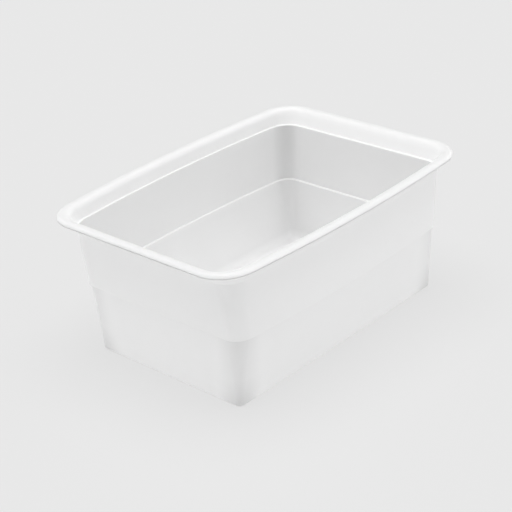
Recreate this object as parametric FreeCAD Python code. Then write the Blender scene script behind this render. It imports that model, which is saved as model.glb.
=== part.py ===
"""Rectangular freezer tub, open, without its lid: one injection-moulded shell.

+Z is up and X runs along the tub. The origin is the middle of the base, on the surface
that the tub stands on. Every outline below is the same kind of closed curve: two straight
ends, two long sides that bow outwards, and four round corners, all tangent. Going down
the tub the outline moves inwards and its corners get tighter. The shell is its outside
less its hollow, and each of them is a stack of such outlines with straight walls between.
"""
import FreeCAD, Part
import math
import os

# Overall sizes, in millimetres
LENGTH = 240.0          # over the rim, along X
END_WIDTH = 164.4       # over the rim, along Y, where the long sides meet the ends
HEIGHT = 105.0          # from the surface it stands on to the top of the rim

# Shell
WALL = 1.1              # thickness of walls, collar and both steps
FLOOR = 1.3             # thickness of the base

# Rim: a flat land with a short lip that turns down outside it
LAND_WIDTH = 7.8        # from the outside of the lip to the inside of the collar
LAND_THICKNESS = 1.4
LIP_DROP = 4.7          # height of the lip's outer face
LIP_THICKNESS = 1.3
LIP_TAPER = 1.8         # how far the lip leans inwards at its lower edge
LIP_SHOULDER = 0.3      # upright stretch of the lip's face below its rounding
RIM_ROUNDING = 2.0      # the lip's upper outer edge
MOUTH_ROUNDING = 2.5    # the edge between the land and the collar
CHANNEL_ROUNDING = 1.2  # the same edge underneath, between collar and land

# Collar: the upright band under the rim, down to the ledge that the lid's plug reaches
COLLAR_DEPTH = 11.0
COLLAR_LEAN_END = 4.0   # how far the collar leans inwards, on the ends
COLLAR_LEAN_SIDE = 0.6  # and on the long sides
LEDGE_WIDTH = 1.6

# Walls: an upper and a lower part, parted by a small step all round
STEP_HEIGHT = 50.5      # underside of the step, from the standing surface
STEP_WIDTH = 1.5
UPPER_LEAN_END = 4.0    # draft of the upper wall, over its whole height
UPPER_LEAN_SIDE = 1.0
LOWER_LEAN_END = 2.2    # draft of the lower wall, over its whole height
LOWER_LEAN_SIDE = 5.6
BASE_ROUNDING = 2.0     # edge between the outside of the wall and the base
FLOOR_ROUNDING = 2.0    # edge between the inside of the wall and the floor

# Corner radii of the outside, level by level
RIM_CORNER = 24.0
LEDGE_CORNER = 15.5
STEP_CORNER = 12.5
BASE_CORNER = 4.0

# How far the long sides bow outwards at their middle, level by level
RIM_BOW = 6.0
LEDGE_BOW = 5.6
STEP_BOW = 5.2
BASE_BOW = 0.6

ROUNDING_FACETS = 4     # narrow bands that make up each rounded edge


class Level:
    """One outline of the shell's outside: its height, insets from the rim, corner and bow."""

    def __init__(self, height, end_inset, side_inset, corner, bow):
        self.height = height
        self.end_inset = end_inset
        self.side_inset = side_inset
        self.corner = corner
        self.bow = bow

    def inset(self, distance, height=None):
        """The outline that lies the given distance inside this one."""
        if height is None:
            height = self.height
        corner = self.corner - distance
        return Level(height, self.end_inset + distance, self.side_inset + distance, corner, self.bow)

    def wire(self):
        half_length = LENGTH / 2 - self.end_inset
        half_width = END_WIDTH / 2 - self.side_inset
        return outline(half_length, half_width, self.bow, self.corner, self.height)


def outline(half_length, half_width, bow, corner, height):
    """Closed wire of two straight ends, two bowed sides and four tangent corner arcs."""
    side_radius = (half_length**2 + bow**2) / (2 * bow)
    side_centre = half_width + bow - side_radius
    reach = side_radius - corner
    corner_x = half_length - corner
    corner_y = side_centre + math.sqrt(reach**2 - corner_x**2)
    tangent_angle = math.atan2(corner_y - side_centre, corner_x)
    middle_angle = tangent_angle / 2

    def point(x, y):
        return FreeCAD.Vector(x, y, height)

    def on_corner(sign_x, sign_y, angle):
        x = corner_x + corner * math.cos(angle)
        y = corner_y + corner * math.sin(angle)
        return point(sign_x * x, sign_y * y)

    edges = []
    for side in (1, -1):
        end_start = point(side * half_length, -side * corner_y)
        end_finish = point(side * half_length, side * corner_y)
        edges.append(Part.LineSegment(end_start, end_finish).toShape())
        near = on_corner(side, side, tangent_angle)
        edges.append(Part.Arc(end_finish, on_corner(side, side, middle_angle), near).toShape())
        crown = point(0, side * (half_width + bow))
        far = on_corner(-side, side, tangent_angle)
        edges.append(Part.Arc(near, crown, far).toShape())
        next_end = point(-side * half_length, side * corner_y)
        edges.append(Part.Arc(far, on_corner(-side, side, middle_angle), next_end).toShape())
    return Part.Wire(edges)


def stack(levels):
    """Solid through a list of outlines, with straight walls from each to the next."""
    return Part.makeLoft([level.wire() for level in levels], True, True)


def rounding(wall_end, radius, rise, turn_in):
    """Outlines that carry a wall on round a quarter circle, starting at the wall's end.

    rise is 1 where the rounding goes up from there and -1 where it goes down;
    turn_in is 1 where it turns towards the middle of the tub and -1 where it turns out.
    """
    levels = []
    for facet in range(ROUNDING_FACETS + 1):
        angle = math.pi / 2 * facet / ROUNDING_FACETS
        height = wall_end.height + rise * radius * math.sin(angle)
        levels.append(wall_end.inset(turn_in * radius * (1 - math.cos(angle)), height))
    return levels


def shell_levels():
    """The outlines of the shell's outside, from the rim down to the foot of the wall."""
    rim = Level(HEIGHT, 0.0, 0.0, RIM_CORNER, RIM_BOW)
    collar_top = rim.inset(LAND_WIDTH - WALL)
    collar_foot = Level(
        HEIGHT - COLLAR_DEPTH - WALL,
        collar_top.end_inset + COLLAR_LEAN_END,
        collar_top.side_inset + COLLAR_LEAN_SIDE,
        LEDGE_CORNER + LEDGE_WIDTH,
        LEDGE_BOW,
    )
    upper_top = collar_foot.inset(LEDGE_WIDTH)
    upper_foot = Level(
        STEP_HEIGHT,
        upper_top.end_inset + UPPER_LEAN_END,
        upper_top.side_inset + UPPER_LEAN_SIDE,
        STEP_CORNER,
        STEP_BOW,
    )
    lower_top = upper_foot.inset(STEP_WIDTH)
    lower_foot = Level(
        BASE_ROUNDING,
        lower_top.end_inset + LOWER_LEAN_END,
        lower_top.side_inset + LOWER_LEAN_SIDE,
        BASE_CORNER,
        BASE_BOW,
    )
    return rim, collar_top, collar_foot, upper_top, upper_foot, lower_top, lower_foot


def make_outside():
    """Everything inside the shell's outer faces, from the base to the top of the collar."""
    _, collar_top, collar_foot, upper_top, upper_foot, lower_top, lower_foot = shell_levels()
    lower = stack([lower_top] + rounding(lower_foot, BASE_ROUNDING, rise=-1, turn_in=1))
    upper = stack([upper_foot, upper_top])
    under_land = HEIGHT - LAND_THICKNESS
    shoulder = collar_top.inset(0.0, under_land - CHANNEL_ROUNDING)
    flare = rounding(shoulder, CHANNEL_ROUNDING, rise=1, turn_in=-1)
    collar = stack([collar_foot] + flare + [flare[-1].inset(0.0, HEIGHT)])
    return lower.fuse([upper, collar])


def make_hollow():
    """The space inside the shell, from the floor up through the mouth."""

    def inner(level):
        return level.inset(WALL, level.height + WALL)

    _, collar_top, collar_foot, upper_top, upper_foot, lower_top, lower_foot = shell_levels()
    floor_edge = lower_foot.inset(WALL, FLOOR + FLOOR_ROUNDING)
    mouth = collar_top.inset(WALL, HEIGHT - MOUTH_ROUNDING)
    lower = stack([inner(lower_top)] + rounding(floor_edge, FLOOR_ROUNDING, rise=-1, turn_in=1))
    upper = stack([inner(upper_foot), inner(upper_top)])
    collar = stack([inner(collar_foot)] + rounding(mouth, MOUTH_ROUNDING, rise=1, turn_in=-1))
    return lower.fuse([upper, collar])


def make_rim():
    """The flat land with its turned-down lip, open underneath between lip and collar."""
    rim = shell_levels()[0]
    lip_foot = rim.inset(LIP_TAPER, HEIGHT - LIP_DROP)
    shoulder = rim.inset(0.0, HEIGHT - RIM_ROUNDING - LIP_SHOULDER)
    rounding_start = rim.inset(0.0, HEIGHT - RIM_ROUNDING)
    plate = stack([lip_foot, shoulder] + rounding(rounding_start, RIM_ROUNDING, rise=1, turn_in=1))
    channel_roof = rim.inset(LIP_THICKNESS, HEIGHT - LAND_THICKNESS)
    channel_foot = lip_foot.inset(LIP_THICKNESS)
    return plate.cut(stack([channel_foot, channel_roof]))


def make_tub():
    """The whole shell as one solid."""
    shell = make_outside().fuse(make_rim()).cut(make_hollow()).removeSplitter()
    if len(shell.Solids) != 1:
        raise ValueError("the shell is not in one piece")
    return shell.Solids[0]


tub = make_tub()
os.makedirs("parts", exist_ok=True)
tub.exportStep("parts/tub.step")
print("tub: valid", tub.isValid(), "volume", round(tub.Volume), "mm3")
print("holds", round(make_hollow().Volume), "mm3 to the brim")
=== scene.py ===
import math

import bmesh
import bpy
from mathutils import Matrix, Vector


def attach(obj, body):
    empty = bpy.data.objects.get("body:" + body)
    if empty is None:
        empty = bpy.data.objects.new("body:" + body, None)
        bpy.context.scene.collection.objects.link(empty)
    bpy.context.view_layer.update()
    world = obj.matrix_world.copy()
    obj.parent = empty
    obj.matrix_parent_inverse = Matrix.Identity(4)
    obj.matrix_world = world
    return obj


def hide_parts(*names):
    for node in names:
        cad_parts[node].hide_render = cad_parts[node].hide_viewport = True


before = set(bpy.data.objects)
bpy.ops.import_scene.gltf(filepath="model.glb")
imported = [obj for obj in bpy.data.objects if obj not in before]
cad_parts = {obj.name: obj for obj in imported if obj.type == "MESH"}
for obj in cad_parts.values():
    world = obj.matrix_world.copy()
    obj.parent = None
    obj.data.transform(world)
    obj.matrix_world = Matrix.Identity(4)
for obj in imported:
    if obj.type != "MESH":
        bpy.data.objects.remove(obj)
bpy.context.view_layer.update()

# ---------------------------------------------------------------------------------------
# The tub: one injection-moulded shell of natural polypropylene. Land and turned-down lip run
# round the mouth, over a collar, a ledge, an upper wall, a small step and a lower wall, on a
# flat base. It leaves the mould in one piece, with each edge rounded.
# ---------------------------------------------------------------------------------------
MM = 0.001
TUB_LENGTH = 240.0
TUB_END_WIDTH = 164.4    # where the bowed long sides meet the straight ends
TUB_HEIGHT = 105.0
WALL = 1.1
FLOOR = 1.3

END_STRIPS = 32          # strips of the mesh along a straight end, a corner and a long side
CORNER_STRIPS = 28
SIDE_STRIPS = 64
WALL_BAND = 6.0          # tallest band of the mesh on a plain wall
EDGE_BAND = 0.35         # narrow band that keeps a wall straight right up to its rounded edge
ROUND_STEPS = 7          # bands in a rounded edge
FLOOR_ROWS = 14          # rows of faces from side to side of the floor and of the base

RIM_CORNER = 24.0        # corner radius of the rim's outline, and how far its long sides bow out
RIM_BOW = 6.0
LAND_WIDTH = 7.8         # from the outside of the lip to the inside of the collar
LAND_UNDERSIDE = 103.6   # heights from the standing surface
COLLAR_SHOULDER = 102.4
MOUTH_START = 102.5
LIP_SHOULDER = 101.9
LIP_FOOT = 100.3
FLOOR_EDGE_START = 3.3
LIP_TAPER = 1.8          # how far the lip leans inwards at its lower edge
LIP_THICKNESS = 1.3
LEDGE_WIDTH = 1.6
STEP_WIDTH = 1.5
BASE_FLAT_INSET = 3.4    # how far inside their edge the flats of base and floor are closed
FLOOR_FLAT_INSET = 5.2


class Level:
    """One line round the shell: its height, how far it lies inside the rim on the ends and on
    the long sides, its corner radius and how far the long sides bow out."""

    def __init__(self, height, end_inset, side_inset, corner, bow):
        self.numbers = (height, end_inset, side_inset, corner, bow)

    def inset(self, distance, height=None):
        own_height, end_inset, side_inset, corner, bow = self.numbers
        new_height = own_height if height is None else height
        return Level(new_height, end_inset + distance, side_inset + distance, corner - distance, bow)

    def towards(self, other, share):
        mixed = [a + (b - a) * share for a, b in zip(self.numbers, other.numbers)]
        return Level(*mixed)

    def distance(self, other):
        rise = other.numbers[0] - self.numbers[0]
        run = other.numbers[2] - self.numbers[2]
        return math.hypot(rise, run)

    def at_height(self, other, height):
        share = (height - self.numbers[0]) / (other.numbers[0] - self.numbers[0])
        return self.towards(other, share)

    def quarter(self):
        """Points from the middle of the +X end round the corner to the middle of the +Y side."""
        height, end_inset, side_inset, corner, bow = self.numbers
        half_length = TUB_LENGTH / 2 - end_inset
        half_width = TUB_END_WIDTH / 2 - side_inset
        side_radius = (half_length**2 + bow**2) / (2 * bow)
        side_centre = half_width + bow - side_radius
        corner_x = half_length - corner
        corner_y = side_centre + math.sqrt((side_radius - corner) ** 2 - corner_x**2)
        turn = math.atan2(corner_y - side_centre, corner_x)
        points = []
        for i in range(END_STRIPS // 2):
            points.append((half_length, corner_y * i / (END_STRIPS // 2)))
        for i in range(CORNER_STRIPS):
            angle = turn * i / CORNER_STRIPS
            points.append((corner_x + corner * math.cos(angle), corner_y + corner * math.sin(angle)))
        for i in range(SIDE_STRIPS // 2 + 1):
            angle = turn + (math.pi / 2 - turn) * i / (SIDE_STRIPS // 2)
            points.append((side_radius * math.cos(angle), side_centre + side_radius * math.sin(angle)))
        return points

    def ring(self):
        """The whole line, anticlockwise from the middle of the +X end."""
        quarter = self.quarter()
        front = quarter + [(-x, y) for x, y in reversed(quarter[:-1])]
        whole = front + [(x, -y) for x, y in reversed(front[1:-1])]
        return [Vector((x, y, self.numbers[0])) * MM for x, y in whole]


def rounded_section(edges):
    """Lines round the shell from one end of its section to the other, with each edge rounded.

    edges lists (level, radius); the first and the last are the section's two ends.
    """
    lines = [edges[0][0]]
    last_leave = edges[0][0]
    for i in range(1, len(edges) - 1):
        level, radius = edges[i]
        before, after = edges[i - 1][0], edges[i + 1][0]
        back, ahead = level.distance(before), level.distance(after)
        run_in = [level.numbers[k] - before.numbers[k] for k in (0, 2)]
        run_out = [after.numbers[k] - level.numbers[k] for k in (0, 2)]
        cosine = (run_in[0] * run_out[0] + run_in[1] * run_out[1]) / (back * ahead)
        turn = math.acos(max(-1.0, min(1.0, cosine)))
        reach = radius * math.tan(turn / 2)
        meet = level.towards(before, reach / back)
        leave = level.towards(after, reach / ahead)
        lines += plain_bands(last_leave, meet)
        weight = math.cos(turn / 2)
        for step in range(1, ROUND_STEPS + 1):
            t = step / ROUND_STEPS
            shares = ((1 - t) ** 2, 2 * t * (1 - t) * weight, t**2)
            total = sum(shares)
            parts = zip(meet.numbers, level.numbers, leave.numbers)
            mixed = [sum(s * n for s, n in zip(shares, part)) / total for part in parts]
            lines.append(Level(*mixed))
        last_leave = leave
    return lines + plain_bands(last_leave, edges[-1][0])


def plain_bands(start, end):
    """Lines up a straight stretch, the last of them its end."""
    length = start.distance(end)
    if length < 3 * EDGE_BAND:
        return [end]
    count = max(1, round((length - 2 * EDGE_BAND) / WALL_BAND))
    inner = length - 2 * EDGE_BAND
    places = [EDGE_BAND + inner * i / count for i in range(count + 1)] + [length]
    return [start.towards(end, place / length) for place in places]


rim = Level(TUB_HEIGHT, end_inset=0.0, side_inset=0.0, corner=RIM_CORNER, bow=RIM_BOW)
collar_top = rim.inset(LAND_WIDTH - WALL)
collar_shoulder = collar_top.inset(0.0, COLLAR_SHOULDER)
collar_foot = Level(92.9, end_inset=10.7, side_inset=7.3, corner=17.1, bow=5.6)
upper_top = collar_foot.inset(LEDGE_WIDTH)
upper_foot = Level(50.5, end_inset=16.3, side_inset=9.9, corner=12.5, bow=5.2)
lower_top = upper_foot.inset(STEP_WIDTH)
lower_foot = Level(2.0, end_inset=20.0, side_inset=17.0, corner=4.0, bow=0.6)
base_edge = lower_top.at_height(lower_foot, 0.0)
lip_foot = rim.inset(LIP_TAPER, LIP_FOOT)
channel_foot = lip_foot.inset(LIP_THICKNESS)
channel_roof = rim.inset(LIP_THICKNESS, LAND_UNDERSIDE)


def inside(level):
    return level.inset(WALL, level.numbers[0] + WALL)


floor_foot = inside(lower_top).at_height(lower_foot.inset(WALL, FLOOR_EDGE_START), FLOOR)
floor_middle = Level(
    FLOOR,
    end_inset=floor_foot.numbers[1] + FLOOR_FLAT_INSET,
    side_inset=floor_foot.numbers[2] + FLOOR_FLAT_INSET,
    corner=0.8,
    bow=0.3,
)
mouth_edge = inside(collar_foot).at_height(collar_top.inset(WALL, MOUTH_START), TUB_HEIGHT)

# Each edge with the radius that it is rounded to, from under the base up to the rim and down.
section = rounded_section([
    (base_edge.inset(BASE_FLAT_INSET), 0.0),
    (base_edge, 2.0),
    (lower_top, 0.5),
    (upper_foot, 0.6),
    (upper_top, 0.5),
    (collar_foot, 0.6),
    (collar_foot.at_height(collar_shoulder, LAND_UNDERSIDE), 2.8),
    (channel_roof, 0.6),
    (channel_foot, 0.3),
    (lip_foot, 0.5),
    (rim.inset(0.0, LIP_SHOULDER), 1.0),
    (rim, 3.0),
    (mouth_edge, 4.2),
    (inside(collar_foot), 0.5),
    (inside(upper_top), 0.5),
    (inside(upper_foot), 0.5),
    (inside(lower_top), 0.6),
    (floor_foot, 4.5),
    (floor_middle, 0.0),
])

# How white the plastic is painted, up the outside and down the inside: (height, share of white). Part
# of it is the plastic's own milkiness and part is painted light and shade. The inside walls are
# painted darker than the outside, as painted shade in the cavity. The step and ledge lines inside
# carry painted highlights. The inside floor edge and the base edge are painted brighter, as painted
# light. The outside under the lip is painted lighter against the shadow there. The land at the top is
# painted darker to offset the overhead lamp.
OUTSIDE_MILK_AND_PAINTED_LIGHT = [
    (0.0, 1.0),
    (1.5, 0.97),
    (94.0, 0.97),
    (100.0, 1.0),
    (103.0, 0.97),
    (TUB_HEIGHT, 0.79),
]
INSIDE_MILK_AND_PAINTED_LIGHT = [
    (FLOOR, 1.0),
    (FLOOR + 1.5, 1.0),
    (10.0, 0.85),
    (51.0, 0.82),
    (51.3, 0.92),
    (51.7, 0.92),
    (52.2, 0.82),
    (93.4, 0.81),
    (93.9, 0.83),
    (94.4, 0.99),
    (101.0, 0.98),
    (104.0, 0.87),
    (TUB_HEIGHT, 0.79),
]
# The flats of floor and base are painted full white, which brightens the floor inside as painted
# light.
FLOOR_MILK_AND_PAINTED_LIGHT = 1.0
# Painted shade in the corners, where shade falls on them, strongest low on the outside towards the tip
# and high on the inside: (height, how much white is lost).
OUTSIDE_CORNER_PAINTED_SHADE = [
    (0.0, 0.24),
    (5.0, 0.21),
    (20.0, 0.13),
    (50.3, 0.15),
    (50.7, 0.02),
    (84.0, 0.02),
    (92.9, 0.06),
    (94.0, 0.0),
]
INSIDE_CORNER_PAINTED_SHADE = [
    (4.0, 0.0),
    (25.0, 0.03),
    (50.8, 0.05),
    (51.8, 0.08),
    (93.2, 0.10),
    (94.0, 0.0),
]
# How far from a corner's middle the painted shade reaches, outside and inside.
OUTSIDE_CORNER_REACH = 24.0   # how far from a corner's middle the loss has died away
INSIDE_CORNER_REACH = 12.5


def read_off(table, height):
    """The value at a height, in a straight line between the table's rows."""
    if height <= table[0][0]:
        return table[0][1]
    for (low, low_value), (high, high_value) in zip(table, table[1:]):
        if height <= high:
            return low_value + (high_value - low_value) * (height - low) / (high - low)
    return table[-1][1]


def corner_nearness(points, reach):
    """For each point of a ring, 1 in the middle of a corner, falling to 0 along the walls."""
    quarter = points[: len(points) // 4 + 1]
    middle = END_STRIPS // 2 + CORNER_STRIPS // 2
    along = [0.0]
    for start, end in zip(quarter, quarter[1:]):
        along.append(along[-1] + (end - start).length / MM)
    nearness = []
    for distance in along:
        share = min(1.0, abs(distance - along[middle]) / reach)
        nearness.append(1.0 - share * share * (3.0 - 2.0 * share))
    half = nearness + nearness[-2::-1]
    return half + half[-2:0:-1]


shell = bmesh.new()
milk_and_light_layer = shell.verts.layers.float.new("milk_and_painted_light")
rings = []
top_line = max(range(len(section)), key=lambda k: section[k].numbers[0])
for k, level in enumerate(section):
    height = level.numbers[0]
    outside = k <= top_line
    # The tone of each point is white with painted light and shade from the tables, less painted shade
    # near the corners.
    milk_and_light = read_off(OUTSIDE_MILK_AND_PAINTED_LIGHT if outside else INSIDE_MILK_AND_PAINTED_LIGHT, height)
    corner_shade = read_off(OUTSIDE_CORNER_PAINTED_SHADE if outside else INSIDE_CORNER_PAINTED_SHADE, height)
    points = level.ring()
    ring = []
    reach = OUTSIDE_CORNER_REACH if outside else INSIDE_CORNER_REACH
    for point, near in zip(points, corner_nearness(points, reach)):
        vert = shell.verts.new(point)
        # Painted shade: each point near a corner is darkened by the corner table.
        vert[milk_and_light_layer] = milk_and_light - corner_shade * near
        ring.append(vert)
    rings.append(ring)
around = len(rings[0])
for low, high in zip(rings, rings[1:]):
    for i in range(around):
        j = (i + 1) % around
        shell.faces.new((low[i], low[j], high[j], high[i]))


def close_flat(ring, faces_up):
    """Fills a flat ring with rows of faces that run from its +Y half to its -Y half."""
    half = around // 2
    columns = []
    for i in range(1, half):
        top, bottom = ring[i], ring[around - i]
        rows = range(1, FLOOR_ROWS)
        between = [shell.verts.new(top.co.lerp(bottom.co, row / FLOOR_ROWS)) for row in rows]
        # The floor's and base's flats are painted full white, part of it painted light.
        for vert in between:
            vert[milk_and_light_layer] = FLOOR_MILK_AND_PAINTED_LIGHT
        columns.append([top] + between + [bottom])
    for left, right in zip(columns, columns[1:]):
        for row in range(FLOOR_ROWS):
            face = [left[row], right[row], right[row + 1], left[row + 1]]
            shell.faces.new(face if faces_up else face[::-1])
    for tip, column in ((ring[0], columns[0]), (ring[half], columns[-1])):
        face = [tip] + column
        turns_left = tip is ring[0]
        shell.faces.new(face if faces_up == turns_left else face[::-1])


close_flat(rings[0], faces_up=False)
close_flat(rings[-1], faces_up=True)
bmesh.ops.recalc_face_normals(shell, faces=shell.faces)
tub_mesh = bpy.data.meshes.new("freezer_tub")
shell.to_mesh(tub_mesh)
shell.free()
for face in tub_mesh.polygons:
    face.use_smooth = True
tub = bpy.data.objects.new("freezer_tub", tub_mesh)
bpy.context.scene.collection.objects.link(tub)

polypropylene = bpy.data.materials.new("natural_polypropylene")
polypropylene.use_nodes = True
nodes, links = polypropylene.node_tree.nodes, polypropylene.node_tree.links
shader = nodes["Principled BSDF"]
shader.inputs["IOR"].default_value = 1.49
shader.inputs["Specular IOR Level"].default_value = 0.35
shader.inputs["Sheen Weight"].default_value = 0.8
shader.inputs["Sheen Roughness"].default_value = 0.12
shader.inputs["Subsurface Weight"].default_value = 1.0
shader.inputs["Subsurface Radius"].default_value = (1.0, 1.0, 1.0)
shader.inputs["Subsurface Scale"].default_value = 0.002

milk_and_painted_light = nodes.new("ShaderNodeAttribute")
milk_and_painted_light.attribute_name = "milk_and_painted_light"
place = nodes.new("ShaderNodeTexCoord")


def noise(scale, detail):
    """Cloudy pattern over the surface; scale is in patches per metre."""
    cloud = nodes.new("ShaderNodeTexNoise")
    cloud.inputs["Scale"].default_value = scale
    cloud.inputs["Detail"].default_value = detail
    links.new(place.outputs["Object"], cloud.inputs["Vector"])
    return cloud.outputs["Fac"]


def spread_over(value, from_low, from_high, to_low, to_high):
    """Stretches a value from one range to another and holds it inside."""
    stretch = nodes.new("ShaderNodeMapRange")
    stretch.inputs["From Min"].default_value = from_low
    stretch.inputs["From Max"].default_value = from_high
    stretch.inputs["To Min"].default_value = to_low
    stretch.inputs["To Max"].default_value = to_high
    links.new(value, stretch.inputs["Value"])
    return stretch.outputs["Result"]


def combined(operation, first, second):
    both = nodes.new("ShaderNodeMath")
    both.operation = operation
    links.new(first, both.inputs[0])
    links.new(second, both.inputs[1])
    return both.outputs["Value"]


# Faint clouds where the melt cooled unevenly, in the colour and in the shine.
broad_clouds = noise(scale=28.0, detail=2.0)
clouds = spread_over(broad_clouds, from_low=0.3, from_high=0.7, to_low=0.985, to_high=1.0)
# The base colour is the milk attribute, with its painted light and painted shade, times the clouds.
links.new(combined("MULTIPLY", milk_and_painted_light.outputs["Fac"], clouds), shader.inputs["Base Color"])

# The walls come from a fine blasted mould and are satin; the rim and collar are polished.
height_of = nodes.new("ShaderNodeSeparateXYZ")
links.new(place.outputs["Object"], height_of.inputs["Vector"])
POLISH_START = 92.5 * MM
POLISH_FULL = 94.5 * MM
height_in_tub = height_of.outputs["Z"]
polish = spread_over(height_in_tub, POLISH_START, POLISH_FULL, to_low=0.0, to_high=-0.16)
fine_clouds = noise(scale=75.0, detail=4.0)
satin = spread_over(fine_clouds, from_low=0.25, from_high=0.75, to_low=0.43, to_high=0.53)
links.new(combined("ADD", satin, polish), shader.inputs["Roughness"])
grain = nodes.new("ShaderNodeBump")
grain.inputs["Strength"].default_value = 0.25
grain.inputs["Distance"].default_value = 0.00004
links.new(noise(scale=2400.0, detail=3.0), grain.inputs["Height"])
links.new(grain.outputs["Normal"], shader.inputs["Normal"])
tub_mesh.materials.append(polypropylene)

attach(tub, "root")
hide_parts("tub")

# ---------------------------------------------------------------------------------------
# Studio: a plain pale table, lit a little from below, in a white tent with four broad soft
# lamps. Two stand low to the left and right, a weak one in front, and one hangs overhead.
# ---------------------------------------------------------------------------------------
TABLE_HALF = 6.0         # metres
TABLE_GAP = 0.0002       # keeps the table's face clear of the base
table_mesh = bpy.data.meshes.new("studio_table")
corners = [(-1, -1), (1, -1), (1, 1), (-1, 1)]
table_points = [(x * TABLE_HALF, y * TABLE_HALF, -TABLE_GAP) for x, y in corners]
table_mesh.from_pydata(table_points, [], [(0, 1, 2, 3)])
table = bpy.data.objects.new("studio_table", table_mesh)
bpy.context.scene.collection.objects.link(table)
table_paint = bpy.data.materials.new("matt_table_paint")
table_paint.use_nodes = True
paint = table_paint.node_tree.nodes["Principled BSDF"]
paint.inputs["Base Color"].default_value = (0.18, 0.18, 0.18, 1.0)
paint.inputs["Emission Color"].default_value = (1.0, 1.0, 1.0, 1.0)
paint.inputs["Emission Strength"].default_value = 0.60
paint.inputs["Roughness"].default_value = 1.0
paint.inputs["Specular IOR Level"].default_value = 0.0
table_mesh.materials.append(table_paint)

tent = bpy.data.worlds.new("white_tent")
tent.use_nodes = True
tent_cloth = tent.node_tree.nodes["Background"]
tent_cloth.inputs["Color"].default_value = (1.0, 1.0, 1.0, 1.0)
tent_cloth.inputs["Strength"].default_value = 0.25
bpy.context.scene.world = tent

CAMERA_AZIMUTH = -45.08
CAMERA_ELEVATION = 26.79


def soft_light(name, azimuth, elevation, strength, spread):
    """A broad lamp that shines on the tub from that side; azimuth is measured as the camera's is."""
    lamp = bpy.data.lights.new(name, "SUN")
    lamp.energy = strength
    lamp.angle = math.radians(spread)
    place = bpy.data.objects.new(name, lamp)
    a, e = math.radians(azimuth), math.radians(elevation)
    from_side = Vector((math.sin(a) * math.cos(e), -math.cos(a) * math.cos(e), math.sin(e)))
    place.rotation_euler = from_side.to_track_quat("Z", "Y").to_euler()
    bpy.context.scene.collection.objects.link(place)


soft_light("light_left", CAMERA_AZIMUTH - 92, elevation=6, strength=1.3, spread=110)
soft_light("light_right", CAMERA_AZIMUTH + 92, elevation=6, strength=1.4, spread=110)
soft_light("light_front", CAMERA_AZIMUTH, elevation=6, strength=0.3, spread=100)
soft_light("light_overhead", CAMERA_AZIMUTH + 165, elevation=88, strength=2.0, spread=60)

# ---------------------------------------------------------------------------------------
# Camera: a long lens on a stand a metre away, which looks down on one corner of the tub. It
# leans a little to one side, so the table's horizon isn't quite level.
# ---------------------------------------------------------------------------------------
CAMERA_ROLL = -4.94
CAMERA_DISTANCE = 1.01929
CAMERA_PAN = (-0.00595, -0.00451)
FILM_WIDTH = 36.0        # millimetres
LENS_LENGTH = 104.2
a, e, roll = (math.radians(x) for x in (CAMERA_AZIMUTH, CAMERA_ELEVATION, CAMERA_ROLL))
level_right = Vector((math.cos(a), math.sin(a), 0.0))
back = Vector((math.sin(a) * math.cos(e), -math.cos(a) * math.cos(e), math.sin(e)))
level_up = back.cross(level_right)
right = level_right * math.cos(roll) + level_up * math.sin(roll)
up = level_up * math.cos(roll) - level_right * math.sin(roll)
lens = bpy.data.cameras.new("camera")
lens.sensor_width = FILM_WIDTH
lens.lens = LENS_LENGTH
camera = bpy.data.objects.new("camera", lens)
stand = back * CAMERA_DISTANCE + right * CAMERA_PAN[0] + up * CAMERA_PAN[1]
turned = Matrix((right, up, back)).transposed().to_4x4()
camera.matrix_world = Matrix.Translation(stand + Vector((0, 0, TUB_HEIGHT / 2 * MM))) @ turned
bpy.context.scene.collection.objects.link(camera)
bpy.context.scene.camera = camera
bpy.context.scene.view_settings.view_transform = "Standard"
